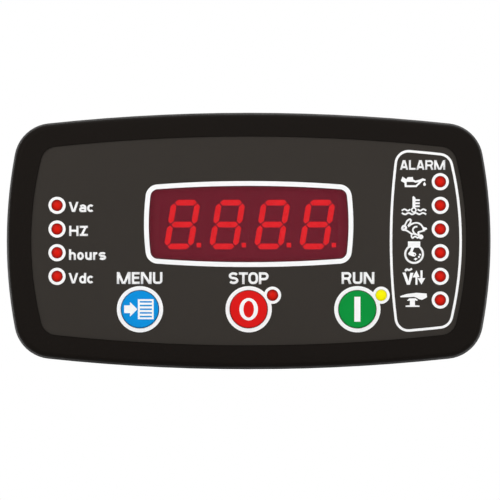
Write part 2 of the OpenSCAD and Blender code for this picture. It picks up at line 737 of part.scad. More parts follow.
module bracket() color("#3a3a3c") translate([case_w / 2, 0, 0]) {
    difference() {
        union() {
            box([0, bracket_y0, -bracket_h / 2], [bracket_t, bracket_y1, bracket_h / 2]);
            box([0, bracket_lug_y0, -lug_w / 2], [clamp_x, bracket_y1, lug_w / 2]);
            rod([clamp_x, 0], bracket_lug_y0, bracket_y1, lug_w / 2);
            for (sz = [-1, 1]) translate([0, 0, (sz * (lug_w + gusset_t) - gusset_t) / 2])
                linear_extrude(gusset_t) polygon([[0, bracket_y0], [bracket_t, bracket_y0],
                    [clamp_x, bracket_y1], [0, bracket_y1]]);
        }
        rod([clamp_x, 0], bracket_y0 - cut, bracket_y1 + cut, clamp_d / 2 + screw_gap);
    }
    for (sz = [-1, 1]) translate([0, 0, sz * hook_z]) {
        box([-case_wall - fit_gap, hook_y, -hook_w / 2], [cut / 2, hook_y + hook_neck, hook_w / 2]);
        box([-case_wall - fit_gap - hook_lip_t, hook_y, -hook_w / 2],
            [-case_wall - fit_gap, hook_y + hook_neck + hook_lip, hook_w / 2]);
    }
}

module clamp_screw() color("silver") translate([case_w / 2 + clamp_x, 0, 0]) difference() {
    union() {
        rod([0, 0], panel_gap, bracket_y1 + clamp_head_gap + cut / 2, clamp_d / 2);
        rod([0, 0], bracket_y1 + clamp_head_gap, bracket_y1 + clamp_head_gap + clamp_head_t, clamp_head_r);
    }
    box([-clamp_head_r, bracket_y1 + clamp_head_gap + clamp_head_t - clamp_slot_depth, -clamp_slot_w / 2],
        [clamp_head_r, bracket_y1 + clamp_head_gap + clamp_head_t + cut, clamp_slot_w / 2]);
}

front_bezel();
front_overlay();
overlay_print();
display_lens();
digit_module(0);  // digit_1
digit_module(1);  // digit_2
digit_module(2);  // digit_3
digit_module(3);  // digit_4
digit_segments(0);  // digit_1_segments
digit_segments(1);  // digit_2_segments
digit_segments(2);  // digit_3_segments
digit_segments(3);  // digit_4_segments
lamp(0, lamp_red);  // lamp_volts_ac
lamp(1, lamp_red);  // lamp_hertz
lamp(2, lamp_red);  // lamp_hours
lamp(3, lamp_red);  // lamp_volts_dc
lamp(4, lamp_red);  // lamp_oil_pressure
lamp(5, lamp_red);  // lamp_coolant_temp
lamp(6, lamp_red);  // lamp_overspeed
lamp(7, lamp_red);  // lamp_start_fail
lamp(8, lamp_red);  // lamp_gen_voltage
lamp(9, lamp_red);  // lamp_emergency_stop
lamp(10, lamp_red);  // lamp_stop
lamp(11, lamp_yellow);  // lamp_run
lamp_spacers();
key_cap(0, "#0a95e0");  // menu_key
key_cap(1, "#d3221a");  // stop_key
key_cap(2, "#02923d");  // run_key
switch_base(0);  // menu_switch
switch_base(1);  // stop_switch
switch_base(2);  // run_switch
switch_stem(0);  // menu_switch_stem
switch_stem(1);  // stop_switch_stem
switch_stem(2);  // run_switch_stem
display_board();
main_board();
board_spacers();
board_screws();
board_socket();
board_header();
microcontroller();
supply_capacitors();
supply_inductor();
output_transistors();
rear_case();
socket(terminal_x, terminal_len, terminal_xs);  // terminal_socket
pins(terminal_xs);  // terminal_pins
plug(terminal_x, terminal_len, terminal_xs);  // terminal_plug
plug_screws(terminal_xs);  // terminal_screws
clamps(terminal_xs);  // terminal_clamps
socket(generator_x, generator_len, generator_xs);  // generator_socket
pins(generator_xs);  // generator_pins
plug(generator_x, generator_len, generator_xs);  // generator_plug
plug_screws(generator_xs);  // generator_screws
clamps(generator_xs);  // generator_clamps
mirror([1, 0, 0]) bracket();  // left_bracket
bracket();  // right_bracket
mirror([1, 0, 0]) clamp_screw();  // left_clamp_screw
clamp_screw();  // right_clamp_screw
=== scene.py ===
import math

import bmesh
import bpy
from mathutils import Matrix, Vector


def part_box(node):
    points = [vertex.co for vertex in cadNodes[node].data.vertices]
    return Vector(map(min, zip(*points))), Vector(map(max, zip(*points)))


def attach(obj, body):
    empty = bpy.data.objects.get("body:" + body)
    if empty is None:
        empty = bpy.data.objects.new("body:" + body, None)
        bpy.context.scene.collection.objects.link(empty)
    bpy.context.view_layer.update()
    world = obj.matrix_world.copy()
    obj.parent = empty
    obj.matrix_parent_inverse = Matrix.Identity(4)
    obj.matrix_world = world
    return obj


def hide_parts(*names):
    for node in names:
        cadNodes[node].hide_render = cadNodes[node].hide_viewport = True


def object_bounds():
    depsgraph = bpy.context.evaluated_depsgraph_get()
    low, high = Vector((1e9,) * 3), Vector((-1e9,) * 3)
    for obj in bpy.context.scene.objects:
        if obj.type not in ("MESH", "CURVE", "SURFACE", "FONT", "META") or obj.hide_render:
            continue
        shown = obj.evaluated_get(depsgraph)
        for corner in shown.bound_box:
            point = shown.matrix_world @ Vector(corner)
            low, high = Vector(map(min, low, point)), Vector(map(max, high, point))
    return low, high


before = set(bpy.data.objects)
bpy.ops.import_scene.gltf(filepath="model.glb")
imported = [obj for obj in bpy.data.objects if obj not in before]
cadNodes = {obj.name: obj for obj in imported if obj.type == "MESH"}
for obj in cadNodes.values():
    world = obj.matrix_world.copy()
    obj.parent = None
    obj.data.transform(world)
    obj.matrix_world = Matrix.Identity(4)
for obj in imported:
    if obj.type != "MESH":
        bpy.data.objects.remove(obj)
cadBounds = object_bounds()
mm = 0.001
quarterTurn = math.radians(90)
print("frame:", len(cadNodes), "nodes")


# Small helpers for shader trees

nodeStep = 200  # one step of a node's place in the editor


def linear(rgb):
    # 0 to 255 screen colour to the linear colour that a socket takes
    parts = [c / 255 for c in rgb]
    return [c / 12.92 if c <= 0.04045 else ((c + 0.055) / 1.055) ** 2.4 for c in parts] + [1.0]


def addNode(tree, kind, spot, **settings):
    node = tree.nodes.new(kind)
    node.location = (spot[0] * nodeStep, spot[1] * nodeStep)
    for key, value in settings.items():
        setattr(node, key, value)
    return node


def setInputs(node, **values):
    for key, value in values.items():
        node.inputs[key.replace("_", " ")].default_value = value


def startGroup(name, inputs, outputs):
    tree = bpy.data.node_groups.new(name, "ShaderNodeTree")
    for label, value in inputs.items():
        socket = tree.interface.new_socket(label, in_out="INPUT", socket_type="NodeSocketFloat")
        socket.default_value = value
    for label in outputs:
        tree.interface.new_socket(label, in_out="OUTPUT", socket_type="NodeSocketFloat")
    return tree, addNode(tree, "NodeGroupInput", (-5, 0)), addNode(tree, "NodeGroupOutput", (3, 0))


def mapRange(tree, value, spot, **limits):
    # Any of From_Min, From_Max, To_Min and To_Max, which are 0 and 1 if not given
    remap = addNode(tree, "ShaderNodeMapRange", spot)
    setInputs(remap, **limits)
    tree.links.new(value, remap.inputs["Value"])
    return remap.outputs["Result"]


def noiseMask(tree, coords, scale, row, look):
    # A noise with its middle, from low to high, stretched over 0 to 1
    noise = addNode(tree, "ShaderNodeTexNoise", (-3, row))
    setInputs(noise, Detail=look["detail"], Roughness=look["mix"])
    tree.links.new(coords, noise.inputs["Vector"])
    tree.links.new(scale, noise.inputs["Scale"])
    return mapRange(tree, noise.outputs["Fac"], (-1, row), From_Min=look["low"], From_Max=look["high"])


# Effects that several finishes share, with their scales in repeats to a metre

mouldGrain = {
    "scales": {"Grain": 3000, "Cloud": 60},
    "grain": {"detail": 3, "mix": 0.6, "low": 0.3, "high": 0.7},
    "cloud": {"detail": 4, "mix": 0.55, "low": 0.35, "high": 0.65},
}


def buildGrain():
    tree, given, result = startGroup("mouldGrain", mouldGrain["scales"], ["Height", "Tone"])
    coords = addNode(tree, "ShaderNodeTexCoord", (-5, 2)).outputs["Object"]
    grain = noiseMask(tree, coords, given.outputs["Grain"], 1, mouldGrain["grain"])
    cloud = noiseMask(tree, coords, given.outputs["Cloud"], -1, mouldGrain["cloud"])
    tree.links.new(grain, result.inputs["Height"])
    tree.links.new(cloud, result.inputs["Tone"])
    return tree


# Fine rings left by a lathe, round the Y axis of a screw
turnedMarks = {
    "scales": {"Lines": 9000, "Cloud": 400},
    "squeeze": (0.05, 1, 0.05),
    "lines": {"detail": 2, "mix": 0.5, "low": 0.3, "high": 0.7},
    "cloud": {"detail": 3, "mix": 0.6, "low": 0.35, "high": 0.65},
}


def buildTurned():
    tree, given, result = startGroup("turnedMarks", turnedMarks["scales"], ["Height", "Tone"])
    coords = addNode(tree, "ShaderNodeTexCoord", (-6, 2)).outputs["Object"]
    squeeze = addNode(tree, "ShaderNodeMapping", (-5, 2))
    setInputs(squeeze, Scale=turnedMarks["squeeze"])
    tree.links.new(coords, squeeze.inputs["Vector"])
    lines = noiseMask(tree, squeeze.outputs["Vector"], given.outputs["Lines"], 1, turnedMarks["lines"])
    cloud = noiseMask(tree, coords, given.outputs["Cloud"], -1, turnedMarks["cloud"])
    tree.links.new(lines, result.inputs["Height"])
    tree.links.new(cloud, result.inputs["Tone"])
    return tree


# Copper tracks under the lacquer of a circuit board, in X and Z
boardTraces = {
    "scales": {"Pitch": 260, "Weave": 2500},
    "scatter": 0.85, "band": 0.12, "trackFrom": 0.05, "trackTo": 0.07,
    "weave": {"detail": 2, "mix": 0.5, "low": 0, "high": 1},
}


def buildTraces():
    tree, given, result = startGroup("boardTraces", boardTraces["scales"], ["Track", "Height"])
    coords = addNode(tree, "ShaderNodeTexCoord", (-6, 2)).outputs["Object"]
    turn = addNode(tree, "ShaderNodeMapping", (-5, 2))
    setInputs(turn, Rotation=(quarterTurn, 0, 0))
    tree.links.new(coords, turn.inputs["Vector"])
    cells = addNode(tree, "ShaderNodeTexVoronoi", (-3, 1), distance="MANHATTAN", feature="F1")
    setInputs(cells, Randomness=boardTraces["scatter"])
    tree.links.new(turn.outputs["Vector"], cells.inputs["Vector"])
    tree.links.new(given.outputs["Pitch"], cells.inputs["Scale"])
    bands = addNode(tree, "ShaderNodeMath", (-1, 1), operation="PINGPONG")
    bands.inputs[1].default_value = boardTraces["band"]
    tree.links.new(cells.outputs["Distance"], bands.inputs[0])
    track = mapRange(tree, bands.outputs["Value"], (1, 1), From_Min=boardTraces["trackFrom"],
                     From_Max=boardTraces["trackTo"])
    weave = noiseMask(tree, turn.outputs["Vector"], given.outputs["Weave"], -1, boardTraces["weave"])
    tree.links.new(track, result.inputs["Track"])
    tree.links.new(weave, result.inputs["Height"])
    return tree


grainGroup = buildGrain()
turnedGroup = buildTurned()
traceGroup = buildTraces()
print("shared effects: 3 groups")


# Finishes: colours are 0 to 255, rough is the range of the roughness and relief the depth of the bump in mm

def startFinish(name, look):
    finish = bpy.data.materials.new(name)
    finish.use_nodes = True
    tree = finish.node_tree
    shader = tree.nodes["Principled BSDF"]
    setInputs(shader, Metallic=look.get("metallic", 0), Specular_IOR_Level=look["specular"])
    return finish, tree, shader


def useGroup(tree, group, **values):
    node = addNode(tree, "ShaderNodeGroup", (-4, 0), node_tree=group)
    setInputs(node, **values)
    return node.outputs


def mixColours(tree, mask, first, second):
    mix = addNode(tree, "ShaderNodeMix", (-2, 1), data_type="RGBA")
    colours = [socket for socket in mix.inputs if socket.type == "RGBA"]
    colours[0].default_value = first
    colours[1].default_value = second
    tree.links.new(mask, mix.inputs["Factor"])
    return [socket for socket in mix.outputs if socket.type == "RGBA"][0]


def varyGloss(tree, mask, shader, look):
    low, high = look["rough"]
    tree.links.new(mapRange(tree, mask, (-2, 0), To_Min=low, To_Max=high), shader.inputs["Roughness"])


def addBump(tree, height, shader, look):
    bump = addNode(tree, "ShaderNodeBump", (-1, -2))
    setInputs(bump, Strength=look["bump"], Distance=look["relief"] * mm)
    tree.links.new(height, bump.inputs["Height"])
    tree.links.new(bump.outputs["Normal"], shader.inputs["Normal"])


def shades(rgb, vary):
    # The darkest and the lightest tone of a cloudy colour
    base = linear(rgb)
    return [c * (1 - vary) for c in base[:3]] + [1], [c * (1 + vary) for c in base[:3]] + [1]


def surfaceFinish(name, look, group):
    # Moulded plastic, film, ink or plated metal: a cloudy tone, a varied gloss and a fine relief
    finish, tree, shader = startFinish(name, look)
    marks = useGroup(tree, group, **look["marks"])
    dark, light = shades(look["colour"], look["vary"])
    tree.links.new(mixColours(tree, marks["Tone"], dark, light), shader.inputs["Base Color"])
    varyGloss(tree, marks["Tone"], shader, look)
    addBump(tree, marks["Height"], shader, look)
    return finish


keyCap = {"vary": 0.03, "rough": (0.36, 0.44), "specular": 0.08,
          "marks": {"Grain": 4200, "Cloud": 90}, "bump": 0.3, "relief": 0.014}
plastics = {
    "bezelPlastic": {"colour": (21, 17, 14), "vary": 0.06, "rough": (0.5, 0.6), "specular": 0.045,
                     "marks": {"Grain": 2600, "Cloud": 45}, "bump": 0.5, "relief": 0.03},
    "overlayFilm": {"colour": (52, 48, 44), "vary": 0.04, "rough": (0.5, 0.58), "specular": 0.06,
                    "marks": {"Grain": 5200, "Cloud": 30}, "bump": 0.4, "relief": 0.012},
    "whiteInk": {"colour": (249, 249, 249), "vary": 0.012, "rough": (0.5, 0.62), "specular": 0.2,
                 "marks": {"Grain": 4500, "Cloud": 500}, "bump": 0.3, "relief": 0.01},
    "digitBody": {"colour": (38, 36, 37), "vary": 0.05, "rough": (0.5, 0.6), "specular": 0.1,
                  "marks": {"Grain": 4000, "Cloud": 80}, "bump": 0.3, "relief": 0.02},
    "blackPlastic": {"colour": (26, 26, 28), "vary": 0.08, "rough": (0.45, 0.6), "specular": 0.3,
                     "marks": {"Grain": 3600, "Cloud": 120}, "bump": 0.4, "relief": 0.02},
    "blueKey": keyCap | {"colour": (0, 143, 220)},
    "redKey": keyCap | {"colour": (219, 21, 19)},
    "greenKey": keyCap | {"colour": (0, 143, 58)},
    "switchStem": {"colour": (216, 212, 203), "vary": 0.03, "rough": (0.35, 0.45), "specular": 0.4,
                   "marks": {"Grain": 4500, "Cloud": 200}, "bump": 0.2, "relief": 0.01},
    "canSleeve": {"colour": (33, 46, 74), "vary": 0.08, "rough": (0.25, 0.35), "specular": 0.5,
                  "marks": {"Grain": 1500, "Cloud": 200}, "bump": 0.2, "relief": 0.03},
    "ferrite": {"colour": (74, 70, 66), "vary": 0.15, "rough": (0.6, 0.75), "specular": 0.3,
                "marks": {"Grain": 5200, "Cloud": 600}, "bump": 0.6, "relief": 0.03},
    "casePlastic": {"colour": (29, 27, 26), "vary": 0.08, "rough": (0.46, 0.62), "specular": 0.28,
                    "marks": {"Grain": 2200, "Cloud": 40}, "bump": 0.55, "relief": 0.035},
    "terminalGreen": {"colour": (33, 126, 70), "vary": 0.07, "rough": (0.38, 0.5), "specular": 0.4,
                      "marks": {"Grain": 3800, "Cloud": 150}, "bump": 0.3, "relief": 0.015},
    "bracketPlastic": {"colour": (56, 56, 59), "vary": 0.07, "rough": (0.45, 0.58), "specular": 0.35,
                       "marks": {"Grain": 2400, "Cloud": 90}, "bump": 0.5, "relief": 0.03},
}
metals = {
    "spacerBrass": {"colour": (201, 162, 74), "vary": 0.08, "rough": (0.24, 0.38), "specular": 0.3,
                    "metallic": 1, "marks": {"Lines": 9000, "Cloud": 500}, "bump": 0.3, "relief": 0.008},
    "platedSteel": {"colour": (172, 174, 177), "vary": 0.07, "rough": (0.22, 0.36), "specular": 0.3,
                    "metallic": 1, "marks": {"Lines": 12000, "Cloud": 600}, "bump": 0.3, "relief": 0.006},
    "tinnedBrass": {"colour": (205, 203, 194), "vary": 0.09, "rough": (0.3, 0.45), "specular": 0.3,
                    "metallic": 1, "marks": {"Lines": 7000, "Cloud": 700}, "bump": 0.3, "relief": 0.008},
}

# Red window: a tinted sheet that lets part of the light of the digits through
lensLook = {"colour": (126, 34, 50), "vary": 0.03, "rough": (0.16, 0.22), "specular": 0.1, "opacity": 0.55,
            "marks": {"Grain": 900, "Cloud": 25}, "bump": 0.1, "relief": 0.006}


def lensFinish(name):
    finish = surfaceFinish(name, lensLook, grainGroup)
    setInputs(finish.node_tree.nodes["Principled BSDF"], Alpha=lensLook["opacity"])
    return finish


def setGlow(tree, tint, shader):
    # A lit part shines in its own colour
    for label in ("Base Color", "Emission Color"):
        tree.links.new(tint, shader.inputs[label])


# Lamps: the middle colour where the dome looks straight out, along -Y, and the darker edge colour round it, a
# painted shade at the rim of the dome and a painted highlight in its middle
lampLooks = {
    "redLamp": {"edge": (118, 14, 8), "middle": (197, 23, 8), "glow": 0.3},
    "yellowLamp": {"edge": (217, 209, 0), "middle": (227, 220, 0), "glow": 0.3},
}
lampDome = {"specular": 0.06, "rough": 0.3, "edgeNormalY": -0.82, "middleNormalY": -1}


def lampFinish(name, look):
    finish, tree, shader = startFinish(name, lampDome)
    setInputs(shader, Roughness=lampDome["rough"], Emission_Strength=look["glow"])
    normal = addNode(tree, "ShaderNodeNewGeometry", (-5, 0)).outputs["Normal"]
    parts = addNode(tree, "ShaderNodeSeparateXYZ", (-4, 0))
    tree.links.new(normal, parts.inputs["Vector"])
    # Painted shade and highlight: the colour goes from the dark edge colour to the bright middle colour as
    # the dome turns to face the front
    shadeByFacing = mapRange(tree, parts.outputs["Y"], (-3, 0), From_Min=lampDome["edgeNormalY"],
                      From_Max=lampDome["middleNormalY"])
    setGlow(tree, mixColours(tree, shadeByFacing, linear(look["edge"]), linear(look["middle"])), shader)
    return finish


segmentLook = {"colour": (248, 25, 3), "vary": 0.06, "glow": 2.7, "rough": 0.4, "specular": 0.2,
               "marks": {"Grain": 4000, "Cloud": 700}}


def segmentFinish(name):
    finish, tree, shader = startFinish(name, segmentLook)
    setInputs(shader, Roughness=segmentLook["rough"], Emission_Strength=segmentLook["glow"])
    marks = useGroup(tree, grainGroup, **segmentLook["marks"])
    dark, light = shades(segmentLook["colour"], segmentLook["vary"])
    setGlow(tree, mixColours(tree, marks["Tone"], dark, light), shader)
    return finish


boardLook = {"lacquer": (22, 84, 50), "track": (40, 118, 72), "rough": (0.3, 0.42), "specular": 0.45,
             "marks": {"Pitch": 260, "Weave": 2500}, "bump": 0.3, "relief": 0.02}


def boardFinish(name):
    finish, tree, shader = startFinish(name, boardLook)
    marks = useGroup(tree, traceGroup, **boardLook["marks"])
    tint = mixColours(tree, marks["Track"], linear(boardLook["lacquer"]), linear(boardLook["track"]))
    tree.links.new(tint, shader.inputs["Base Color"])
    varyGloss(tree, marks["Track"], shader, boardLook)
    addBump(tree, marks["Height"], shader, boardLook)
    return finish


finishes = {name: surfaceFinish(name, look, grainGroup) for name, look in plastics.items()}
finishes |= {name: surfaceFinish(name, look, turnedGroup) for name, look in metals.items()}
finishes |= {name: lampFinish(name, look) for name, look in lampLooks.items()}
finishes["redLens"] = lensFinish("redLens")
finishes["litSegment"] = segmentFinish("litSegment")
finishes["boardLacquer"] = boardFinish("boardLacquer")
print("finishes:", len(finishes))

# Record slot of each CAD node, and the finish that goes with it
slotFinish = {
    "bezel_plastic": "bezelPlastic", "overlay_film": "overlayFilm", "white_ink": "whiteInk",
    "red_lens": "redLens", "digit_body": "digitBody", "lit_segment": "litSegment",
    "red_lamp": "redLamp", "yellow_lamp": "yellowLamp", "black_plastic": "blackPlastic",
    "blue_key": "blueKey", "red_key": "redKey", "green_key": "greenKey", "switch_stem": "switchStem",
    "board": "boardLacquer", "spacer_brass": "spacerBrass", "steel": "platedSteel",
    "capacitor_can": "canSleeve", "ferrite": "ferrite", "case_plastic": "casePlastic",
    "terminal_green": "terminalGreen", "tinned_brass": "tinnedBrass", "bracket_plastic": "bracketPlastic",
}
for node in cadNodes.values():
    for holder in node.material_slots:
        holder.material = finishes[slotFinish[holder.material.name.split(".")[0]]]
print("finishes set on the CAD nodes")


# Meshes, shapes and pieces

joinReach = 1e-5  # loose corners nearer than this are one corner


def meshFrom(maker):
    # The mesh of an object with its modifiers applied, and the object removed
    bpy.context.scene.collection.objects.link(maker)
    bpy.context.view_layer.update()
    ready = maker.evaluated_get(bpy.context.evaluated_depsgraph_get())
    mesh = bpy.data.meshes.new_from_object(ready)
    bpy.data.objects.remove(maker)
    return mesh


def shapeOf(mesh):
    shape = bmesh.new()
    shape.from_mesh(mesh)
    return shape


def settle(shape, mesh):
    # Writes a shape into a mesh and lets the shape go
    shape.to_mesh(mesh)
    shape.free()
    return mesh


def welded(mesh):
    # The mesh with its loose faces joined and its normals outwards
    shape = shapeOf(mesh)
    bmesh.ops.remove_doubles(shape, verts=shape.verts, dist=joinReach)
    bmesh.ops.recalc_face_normals(shape, faces=shape.faces)
    return settle(shape, mesh)


def trimmed(mesh, low, high):
    # The part of a closed mesh between two levels of Y, with flat ends
    shape = shapeOf(mesh)
    bmesh.ops.remove_doubles(shape, verts=shape.verts, dist=joinReach)
    for level, side in ((low, -1), (high, 1)):
        everything = shape.verts[:] + shape.edges[:] + shape.faces[:]
        cut = bmesh.ops.bisect_plane(shape, geom=everything, plane_co=(0, level, 0), plane_no=(0, side, 0),
                                     clear_outer=True)["geom_cut"]
        bmesh.ops.holes_fill(shape, edges=[e for e in cut if isinstance(e, bmesh.types.BMEdge)])
    return settle(shape, mesh)


def combined(first, *others, operation="UNION"):
    # One solid from meshes that cross each other
    base = bpy.data.objects.new("base", welded(first))
    tools = [bpy.data.objects.new("tool", welded(other)) for other in others]
    for tool in tools:
        bpy.context.scene.collection.objects.link(tool)
        step = base.modifiers.new("step", "BOOLEAN")
        step.operation = operation
        step.solver = "MANIFOLD"
        step.object = tool
    mesh = meshFrom(base)
    for tool in tools:
        bpy.data.objects.remove(tool)
    return mesh


def newPiece(name, shape, body, slot):
    mesh = settle(shape, bpy.data.meshes.new(name))
    mesh.materials.append(finishes[slotFinish[slot]])
    piece = bpy.data.objects.new(name, mesh)
    bpy.context.scene.collection.objects.link(piece)
    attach(piece, body)
    return piece


def centre(node):
    low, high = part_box(node)
    return (low + high) / 2


# Ink shapes are flat curves one unit thick, drawn in X and Y: a closed outline is filled,
# and a line gets its width from Solidify. Sizes are in mm

ink = {"thick": 0.06, "sunk": 0.02, "bendSteps": 6}
halfUnit = 0.5  # how far a flat curve reaches to each side
towardsViewer = Matrix.Rotation(quarterTurn, 4, "X")
towardsBack = Matrix.Rotation(2 * quarterTurn, 4, "Z") @ towardsViewer
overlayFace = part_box("front_overlay")[0].y
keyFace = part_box("menu_key")[0].y
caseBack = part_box("rear_case")[1].y


def newCurve(name, dimensions, smooth):
    curve = bpy.data.curves.new(name, "CURVE")
    curve.dimensions = dimensions
    curve.resolution_u = ink["bendSteps"] if smooth else 1
    curve.extrude = halfUnit
    return curve


def addSpline(curve, points, loop, smooth):
    spline = curve.splines.new("BEZIER")
    spline.bezier_points.add(len(points) - 1)
    for spot, (x, y) in zip(spline.bezier_points, points):
        spot.co = (x, y, 0)
        spot.handle_left_type = spot.handle_right_type = "AUTO" if smooth else "VECTOR"
    spline.use_cyclic_u = loop


def fillMesh(outlines):
    # The first outline is filled, and the others are holes in it
    curve = newCurve("fill", "2D", False)
    curve.fill_mode = "BOTH"
    for outline in outlines:
        addSpline(curve, outline, True, False)
    return meshFrom(bpy.data.objects.new("fill", curve))


def lineMesh(points, wide, loop=False, smooth=False):
    curve = newCurve("line", "3D", smooth)
    addSpline(curve, points, loop, smooth)
    maker = bpy.data.objects.new("line", curve)
    width = maker.modifiers.new("width", "SOLIDIFY")
    width.thickness = wide
    width.offset = 0
    width.use_even_offset = True
    return meshFrom(maker)


def arcPoints(x, y, rx, ry, start, end, steps=8):
    turns = [math.radians(start + (end - start) * i / steps) for i in range(steps + 1)]
    return [(x + rx * math.cos(a), y + ry * math.sin(a)) for a in turns]


def ringPoints(x, y, rx, ry, count):
    return arcPoints(x, y, rx, ry, 0, 360, count)[:-1]


def rectPoints(left, bottom, right, top):
    return [(left, bottom), (right, bottom), (right, top), (left, top)]


def wavePoints(start, end, y, period, rise):
    count = round(2 * (end - start) / period) + 1
    step = (end - start) / (count - 1)
    return [(start + i * step, y + (rise if i % 2 else -rise)) for i in range(count)]


def printInk(name, shape, spot, body):
    # Sets a shape down on the front and makes it a piece of white ink
    bmesh.ops.transform(shape, matrix=Matrix.Translation(spot) @ towardsViewer, verts=shape.verts)
    newPiece(name, shape, body, "white_ink")


# Plain bold lettering, drawn on a height of 1 with a stroke of width t: each letter has its width, its lines,
# its closed loops and its slants, which run from one x to another between two heights and end flat

lettering = {
    "small": 0.73,  # height of the small letters
    "thin": 0.85,  # how much nearer to the edge their bends run
    "corner": 0.2,
    "lowBar": 0.385,  # top of the belly of an a
}


def letterForm(wide, lines=(), slants=(), loops=()):
    return {"wide": wide, "lines": lines, "slants": slants, "loops": loops}


def letterForms(t):
    h = t / 2  # the middle of a stroke lies this far inside the letter's edge
    small = lettering["small"]
    thin = h * lettering["thin"]
    r = lettering["corner"]
    lowBar = lettering["lowBar"]

    def stem(x, top=1):
        return [(x, 0), (x, top)]

    def bar(y, left, right):
        return [(left, y), (right, y)]

    def bowl(w, low):
        ry = (1 - h - low) / 2
        return [(h, 1 - h)] + arcPoints(w - h - ry, low + ry, ry, ry, 90, -90) + [(h, low)]

    def hook(w, top, edge):
        # Two turns of an S or an s, from the upper right to the lower left
        ry = (top - 2 * edge) / 4
        upper = arcPoints(w / 2, top - edge - ry, w / 2 - edge, ry, 25, 270, 12)
        lower = arcPoints(w / 2, edge + ry, w / 2 - edge, ry, 90, -155, 12)
        return upper + lower[1:]

    def loop(w, low, top, edge=h):
        return ringPoints(w / 2, (low + top) / 2, w / 2 - h, (top - low) / 2 - edge, 16)

    def arch(w, start, end, top):
        return arcPoints(w / 2, top, w / 2 - h, r, start, end)

    def roundBox(w, rx, ry):
        left, right = h + rx, w - h - rx
        bottom, top = h + ry, 1 - h - ry
        corners = [(right, top), (left, top), (left, bottom), (right, bottom)]
        turns = [arcPoints(x, y, rx, ry, 90 * i, 90 * i + 90, 5) for i, (x, y) in enumerate(corners)]
        return [spot for turn in turns for spot in turn]

    bellyHigh = (lowBar - thin) / 2
    belly = arcPoints(h + r / 2, thin + bellyHigh, r / 2, bellyHigh, 90, 270)
    cup = arcPoints(h + r, h + r, r, r, 180, 270) + arcPoints(0.8 - h - r, h + r, r, r, 270, 360)
    capitals = {
        "A": letterForm(0.86, [bar(0.27, 0.2, 0.66)],
                        [(1.1 * h, 0.4, 0, 1), (0.86 - 1.1 * h, 0.46, 0, 1)]),
        "E": letterForm(0.66, [stem(h), bar(1 - h, h, 0.66), bar(0.52, h, 0.62), bar(h, h, 0.66)]),
        "H": letterForm(0.9, [stem(h), stem(0.9 - h), bar(0.52, h, 0.9 - h)]),
        "L": letterForm(0.68, [stem(h), bar(h, h, 0.68)]),
        "M": letterForm(1.14, [stem(h), stem(1.14 - h)],
                        [(0.53, 1.2 * h, 0, 1), (0.61, 1.14 - 1.2 * h, 0, 1)]),
        "N": letterForm(0.9, [stem(h), stem(0.9 - h)], [(0.9 - 1.3 * h, 1.3 * h, 0, 1)]),
        "O": letterForm(0.82, loops=[roundBox(0.82, 0.25, 0.3)]),
        "P": letterForm(0.82, [stem(h), bowl(0.82, 0.42)]),
        "R": letterForm(0.84, [stem(h), bowl(0.82, 0.46)], [(0.84 - 1.15 * h, 0.55, 0, 0.46)]),
        "S": letterForm(0.82, [hook(0.82, 1, h)]),
        "T": letterForm(0.7, [stem(0.35), bar(1 - h, -0.03, 0.73)]),
        "U": letterForm(0.8, [[(h, 1)] + cup + [(0.8 - h, 1)]]),
        "V": letterForm(0.9, slants=[(0.41, 1.1 * h, 0, 1), (0.49, 0.9 - 1.1 * h, 0, 1)]),
        "Z": letterForm(0.8, [bar(1 - h, 0, 0.8), bar(h, 0, 0.8)], [(1.45 * h, 0.8 - 1.45 * h, 0, 1)]),
    }
    smalls = {
        "a": letterForm(0.66, [arcPoints(0.33, small - thin - r, 0.33 - h, r, 155, 0) + [(0.66 - h, 0)],
                               [(0.66 - h, lowBar)] + belly + [(0.66 - h, thin)]]),
        "c": letterForm(0.65, [arcPoints(0.33, small / 2, 0.33 - h, small / 2 - thin, 42, 318, 14)]),
        "d": letterForm(0.66, [stem(0.66 - h)], loops=[loop(0.66, 0, small, thin)]),
        "h": letterForm(0.66, [stem(h), arch(0.66, 180, 0, small - thin - r) + [(0.66 - h, 0)]]),
        "o": letterForm(0.65, loops=[loop(0.65, 0, small, thin)]),
        "r": letterForm(0.44, [stem(h, small), arcPoints(0.44, small - thin - r, 0.44 - h, r, 180, 95)]),
        "s": letterForm(0.7, [hook(0.7, small, thin)]),
        "u": letterForm(0.64, [stem(0.64 - h, small), [(h, small)] + arch(0.64, 180, 360, thin + r)]),
    }
    numerals = {
        "0": letterForm(0.66, loops=[roundBox(0.66, 0.2, 0.25)]),
        "1": letterForm(0.44, [stem(0.44 - h), [(0.06, 0.72), (0.44 - h, 0.94)]]),
        "2": letterForm(0.66, [arcPoints(0.33, 0.7, 0.33 - h, 0.3 - h, 165, -35) + [(0.12, h), (0.66, h)]]),
        "3": letterForm(0.66, [arcPoints(0.32, 0.755, 0.33 - h, 0.245 - h / 2, 150, -90),
                               arcPoints(0.32, 0.26, 0.34 - h, 0.26 - h / 2, 90, -150)]),
        "4": letterForm(0.7, [stem(0.52), [(0.5, 0.95), (0.1, 0.28), (0.7, 0.28)]]),
        "5": letterForm(0.66, [[(0.6, 1 - h), (0.13, 1 - h), (0.1, 0.52)]
                               + arcPoints(0.32, 0.32, 0.34 - h, 0.32 - h, 115, -150)]),
        "6": letterForm(0.66, [[(h, 0.32), (0.15, 0.66), (0.3, 0.86), (0.56, 1 - h)]],
                        loops=[loop(0.66, 0, 0.64)]),
        "7": letterForm(0.64, [[(0, 1 - h), (0.56, 1 - h), (0.2, 0)]]),
        "8": letterForm(0.66, loops=[loop(0.66, 0.46, 1), loop(0.66, 0, 0.56)]),
        "9": letterForm(0.66, [[(0.66 - h, 0.68), (0.51, 0.34), (0.36, 0.14), (0.1, h)]],
                        loops=[loop(0.66, 0.36, 1)]),
    }
    return capitals | smalls | numerals


def slantMesh(slant, t):
    # The line runs past both heights by t, and is cut flat at them
    x0, x1, low, high = slant
    over = (x1 - x0) / (high - low) * t
    return trimmed(lineMesh([(x0 - over, low - t), (x1 + over, high + t)], t), low, high)


